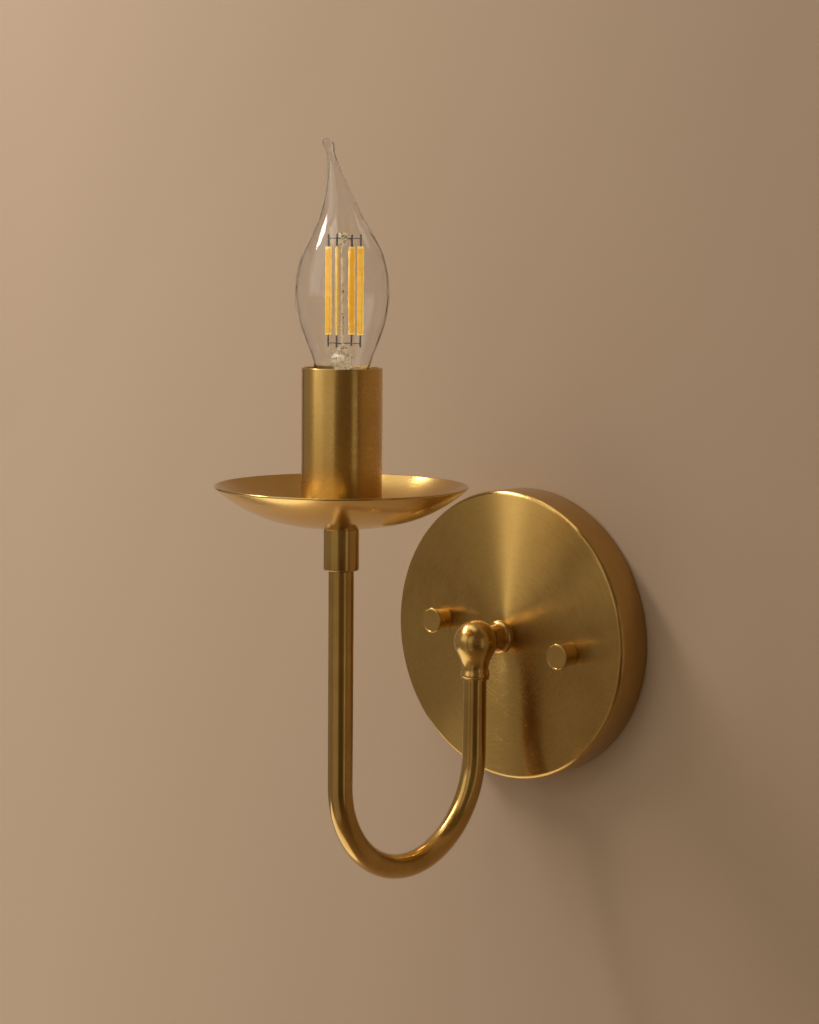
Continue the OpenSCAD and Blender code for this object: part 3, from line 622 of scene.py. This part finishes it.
def dish():
    """Spun dish: a flat floor, then an arc up to a lip with a small round."""
    rim, floor, wall, lip, steps = size("dish").x / 2 / MM, 10.0, 1.0, 0.45, 40
    base, top = heights("dish")
    depth = top - base
    outer_r = ((rim - floor) ** 2 + depth ** 2) / (2 * depth)
    inner_r = outer_r - wall
    outer_end, inner_end = math.asin((rim - floor) / outer_r), math.acos((outer_r - depth) / inner_r)

    def curve(radius, angle):
        return floor + radius * math.sin(angle), base + outer_r - radius * math.cos(angle)

    outer = [(DISH_BORE, base)] + [curve(outer_r, outer_end * k / steps) for k in range(steps + 1)]
    inner = [curve(inner_r, inner_end * k / steps) for k in range(steps, -1, -1)]
    inner.append((DISH_BORE, base + wall))
    outer[-1] = (*outer[-1], lip)
    inner[0] = (*inner[0], lip)
    piece = lathe("dish_spun", rounded(outer + inner), CANDLE, segments=224)
    dress(piece, "dish_brass", "fixture", "dish")


def sleeve():
    low, high = heights("candle_sleeve")
    r, wall = size("candle_sleeve").x / 2 / MM, 1
    piece = lathe("sleeve_turned", rounded([
        (r, low, 0.2), (r, high, 0.3), (r - wall, high, 0.3), (r - wall, low, 0.2)]), CANDLE)
    dress(piece, "sleeve_brass", "sleeve", "candle_sleeve")


elbow()
arm()
coupler()
dish()
sleeve()

# ---------------------------------------------------------------- the lamp's glass

# outside of the glass as (r, z) from the cap's contact, mm
GLASS = [(8.0, 21.0), (8.0, 23.0), (8.05, 25.6), (8.35, 28.6), (9.1, 31.8), (10.2, 35.0), (11.6, 39.8),
         (13.8, 45.2), (16.1, 52.0), (17.3, 58.6), (17.5, 62.3), (17.2, 66.6), (16.75, 69.4),
         (14.9, 76.6), (12.1, 82.5), (8.7, 89.0), (5.6, 96.3), (3.5, 103.5), (2.2, 108.2),
         (1.72, 111.2), (1.62, 113.0), (1.85, 114.0), (2.15, 115.0), (2.2, 115.8), (1.95, 116.7),
         (1.3, 117.5), (0.5, 117.9)]
GLASS_T = 0.75
SOLID_FROM = 110                    # the tip is solid above this
LEAN_FROM, LEAN_TO, LEAN = 76.6, 118, 5.9
LEAN_WAY = level(math.radians(222.7))


def catmull(points, steps):
    """A smooth curve through the points."""
    out = []
    for i in range(len(points) - 1):
        a, b = Vector(points[max(i - 1, 0)]), Vector(points[i])
        c, d = Vector(points[i + 1]), Vector(points[min(i + 2, len(points) - 1)])
        for s in range(steps):
            t = s / steps
            out.append(0.5 * (2 * b + (c - a) * t + (2 * a - 5 * b + 4 * c - d) * t * t
                              + (3 * b - a - 3 * c + d) * t ** 3))
    return out + [Vector(points[-1])]


def lean(z):
    """How far the flame tip's axis has bent aside at a height, in mm."""
    return LEAN * (max(z - LEAN_FROM, 0) / (LEAN_TO - LEAN_FROM)) ** 2


def bulb():
    """Hollow glass with a solid tip, open at its foot."""
    segments = 96
    curve = catmull(GLASS, 4)
    bm = bmesh.new()

    def ring(radius, z):
        middle = CANDLE + LEAN_WAY * lean(z) * MM
        return [bm.verts.new((middle.x + radius * MM * math.cos(2 * math.pi * j / segments),
                              middle.y + radius * MM * math.sin(2 * math.pi * j / segments),
                              LAMP_Z + z * MM)) for j in range(segments)]

    def skin(a, b):
        for j in range(segments):
            k = (j + 1) % segments
            bm.faces.new((a[j], a[k], b[k], b[j]))

    outer = [ring(p.x, p.y) for p in curve]
    inner = [ring(p.x - GLASS_T, p.y) for p in curve if p.y < SOLID_FROM and p.x > GLASS_T + 0.35]
    for rings in (outer, inner):
        for a, b in zip(rings, rings[1:]):
            skin(a, b)
    bm.faces.new(outer[-1])
    bm.faces.new(inner[-1])
    skin(outer[0], inner[0])
    dress(from_bm("bulb_blown", bm, 60), "lamp_glass", "lamp", "bulb_glass")


bulb()

# ---------------------------------------------------------------- what the glass holds

STICK_Z = (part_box("bulb_filaments")[0].z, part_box("bulb_filaments")[1].z)
# angle of each stick in the group, and its twist on its own axis
STICKS = [(math.radians(19.7 + 90 * k), math.radians(twist)) for k, twist in enumerate((0, -57, 0, 20))]
RING = 6.5 * MM                         # the sticks' distance from the middle of their group
RING_SHIFT = RIGHT * 0.7 * MM           # the group stands a little off the lamp's axis
POST, POST_R = 4.4 * MM, 0.35 * MM      # wire at each end of a stick
CROSS, CROSS_R = 3.0 * MM, 0.2 * MM     # wire from the rod to a post, this far beyond the stick


def around(angle):
    """Place of a stick in the group, at the lamp's foot."""
    return CANDLE + level(angle) * RING + RING_SHIFT


def joined(parts):
    """One bmesh out of several."""
    whole = bmesh.new()
    for part in parts:
        mesh = bpy.data.meshes.new("part")
        part.to_mesh(mesh)
        part.free()
        whole.from_mesh(mesh)
        bpy.data.meshes.remove(mesh)
    return whole


def stick_bm(stick, width, thick, length, bevel):
    """A flat stick that stands edge on to the rod, give or take its twist, with its edges rounded."""
    angle, twist = stick
    bm = bmesh.new()
    bmesh.ops.create_cube(bm, size=1, matrix=Matrix.Diagonal((width * MM, thick * MM, length, 1)))
    bmesh.ops.bevel(bm, geom=bm.edges[:], offset=bevel * MM, segments=3, affect="EDGES")
    middle = around(angle) + Vector((0, 0, sum(STICK_Z) / 2))
    bm.transform(Matrix.Translation(middle) @ Matrix.Rotation(angle + twist, 4, "Z"))
    return bm


def filaments():
    """Sticks of a thin pale core in an amber coat."""
    coat, core = (2.15, 1.3), (2.4, 0.6)                # width and thickness
    bare = 0.5 * MM                                     # of the core, at each end
    length = STICK_Z[1] - STICK_Z[0]
    coats = joined([stick_bm(s, *coat, length - 2 * bare, 0.35) for s in STICKS])
    dress(from_bm("filament_coats", coats, 60), "filament", "lamp", "bulb_filaments")
    cores = joined([stick_bm(s, *core, length, 0.1) for s in STICKS])
    dress(from_bm("filament_cores", cores, 60), "filament", "lamp", material=FILAMENT_CORE)


def wires():
    """At both ends a post on each stick, and a cross wire to it from the rod."""
    bars = []
    for end, way in ((STICK_Z[1], 1), (STICK_Z[0], -1)):
        for angle, _ in STICKS:
            foot = around(angle) + Vector((0, 0, end))
            cross = Vector((0, 0, way * CROSS))
            bars.append(sweep_bm([foot, foot + Vector((0, 0, way * POST))], POST_R,
                                 Vector((1, 0, 0)), 12))
            bars.append(sweep_bm([CANDLE + Vector((0, 0, end)) + cross, foot + cross], CROSS_R,
                                 Vector((0, 0, 1)), 8))
    dress(from_bm("lamp_wires_bent", joined(bars), 60), "lamp_wire", "lamp", "bulb_wires")


def stem():
    """Stem with a crackled ball and neck, a thin rod and a crackled knot at its end."""
    neck, knot = (33, 44), 79.5                         # crackled heights
    fineness, depth = 900, 0.6 * MM
    line = [(0, 22.0), (6.6, 22.0), (7.0, 22.4), (6.9, 23.0), (5.6, 25.0), (4.2, 28.0), (3.2, 31.5),
            (2.7, 33.4)]
    line += arc(0, 37.4, 3.9, -52, 56, 14)
    line += [(2.0, 41.2), (2.1, 42.0), (1.9, 42.8), (1.3, 43.6), (0.62, 44.4), (0.55, 50.0),
             (0.55, 60.0), (0.55, 70.0), (0.6, 79.0), (1.0, 79.9)]
    line += arc(0, 81.7, 2.3, -62, 80, 10) + [(0, 84.0)]
    bm = lathe_bm(line, 40, False)
    for v in bm.verts:
        z = v.co.z / MM
        if neck[0] < z < neck[1] or z > knot:
            v.co += noise.noise_vector(v.co * fineness) * depth
    bm.transform(Matrix.Translation(CANDLE + Vector((0, 0, LAMP_Z))))
    dress(from_bm("stem_crackled", bm, 20), "lamp_glass", "lamp", "bulb_stem", material=STEM_GLASS)


filaments()
wires()
stem()

# ---------------------------------------------------------------- stage and lights


def wall_paint():
    """Pale paint with painted shade, clear from behind, and open like a wall box behind the backplate.
    """
    pale, shaded, dark = col(0.595, 0.443, 0.308), col(0.44, 0.315, 0.204), col(0.12, 0.08, 0.05)
    n = Nodes("wall_paint")
    p = n.coords()
    x, _, z = n.split(p)
    # painted shade: a little darker towards the right, as if less light reached it there
    slope = n.math("MULTIPLY_ADD", x, 2.2, 0.62)
    shade = n.math("MULTIPLY_ADD", n.noise(p, 3, 3), 0.25, slope)
    paint = n.mix(n.math("MAXIMUM", shade, 0.0, clamp=True), pale, shaded)
    # far to the left, outside the picture, it falls into shade, which draws the dark left edges of
    # glass and brass; the floor stays pale
    left = n.fade(x, -0.49, -0.42, 1.0, 0.0)
    above_floor = n.fade(z, -0.9, -0.65)
    bsdf = n.add("BsdfPrincipled", Roughness=0.85,
                 Base_Color=n.mix(n.math("MULTIPLY", left, above_floor), paint, dark),
                 Normal=n.bump(n.noise(p, 260, 4, 0.6), 0.1 * MM, 0.35))
    plate = centre("canopy")
    from_x, from_z = n.math("SUBTRACT", x, plate.x), n.math("SUBTRACT", z, plate.z)
    square = n.math("MULTIPLY_ADD", from_x, from_x, n.math("MULTIPLY", from_z, from_z))
    opening = n.math("LESS_THAN", square, (PLATE_R - 4 * MM) ** 2)
    behind = n.add("NewGeometry").outputs["Backfacing"]
    n.blend(n.math("MAXIMUM", behind, opening), bsdf, n.add("BsdfTransparent"))
    return n.mat


def wall():
    """Wall that the sconce hangs on, curving into the floor."""
    y = 0.0006                                          # just behind the backplate's rim
    top, floor, cove, reach, steps = 4.0, -1.3, 0.4, 5.0, 12
    line = [(y, top), (y, floor + cove)]
    line += [(y - cove * (1 - math.cos(a)), floor + cove * (1 - math.sin(a)))
             for a in (math.pi / 2 * k / steps for k in range(1, steps + 1))]
    line += [(y - reach, floor)]
    bm = bmesh.new()
    left, right = ([bm.verts.new((x, *p)) for p in line] for x in (-reach, reach))
    for i in range(len(line) - 1):
        bm.faces.new((left[i], left[i + 1], right[i + 1], right[i]))
    mesh = bpy.data.meshes.new("wall")
    bm.to_mesh(mesh)
    bm.free()
    mesh.materials.append(wall_paint())
    link("wall", mesh, 60)


def lamp(name, azimuth, elevation, distance, width, length, power, colour,
         along=(0, 0, 1), target=(0, -0.06, 0.05), spread=180):
    """Soft box aimed at the sconce. Azimuth 0 is straight out from the wall, positive to the right;
    its long side lies as near to the direction `along` as the aim lets it."""
    a, e = math.radians(azimuth), math.radians(elevation)
    toward = Vector((math.sin(a) * math.cos(e), -math.cos(a) * math.cos(e), math.sin(e)))
    long_side = (Vector(along) - toward * toward.dot(Vector(along))).normalized()
    data = bpy.data.lights.new(name, "AREA")
    data.shape, data.size, data.size_y = "RECTANGLE", width, length
    data.energy, data.color, data.spread = power, colour, math.radians(spread)
    obj = bpy.data.objects.new(name, data)
    m = Matrix((long_side.cross(toward), long_side, toward)).transposed().to_4x4()
    m.translation = Vector(target) + toward * distance
    obj.matrix_world = m
    scene.collection.objects.link(obj)


wall()

# the numbers are azimuth and elevation in degrees, distance, width and length in metres, and power
# the key runs out from the wall, so it draws one narrow upright streak on the turned backplate
lamp("key", -64.3, 46, 1.6, 0.25, 1.0, 14.0, (1, 0.96, 0.92), along=(0, 1, 0))
# the window is nested soft boxes, so that its edges are soft in a reflection
lamp("window", -10, 28, 1.25, 1.7, 1.25, 3.3, (1, 0.97, 0.94))
lamp("window_middle", -10, 28, 1.25, 1.5, 1.1, 2.7, (1, 0.97, 0.94))
lamp("window_core", -24, 26, 1.25, 0.6, 0.9, 0.95, (1, 0.97, 0.94))
# these show in the sleeve's foot, the dish's inside, the tubes and the dish's underside
lamp("ceiling", -15, 68, 1.3, 0.8, 0.8, 2.7, (1, 0.97, 0.92))
lamp("high", -82, 66, 1.4, 0.5, 0.5, 1.1, (1, 0.97, 0.92))
lamp("fill", -62, -4, 1.6, 2.0, 1.6, 1.5, (1, 0.96, 0.9))
lamp("floor", -2, -20, 1.5, 1.4, 1.5, 1.5, (1, 0.94, 0.84))
lamp("low", -84, -58, 1.2, 1.3, 1.3, 6.8, (1, 0.95, 0.82))
# a narrow beam for the parts inside the backplate; it stays within the plate
lamp("behind", 180, 0, 0.42, 0.08, 0.08, 0.014, (1, 0.96, 0.9), target=centre("canopy"), spread=12)
lamp("side", 80, -3, 2.0, 0.5, 1.6, 0.8, (1, 0.94, 0.86))

world = bpy.data.worlds.new("world")
scene.world = world
world.use_nodes = True
background = world.node_tree.nodes["Background"]
background.inputs["Color"].default_value = col(1.0, 0.72, 0.42)
background.inputs["Strength"].default_value = 0.13
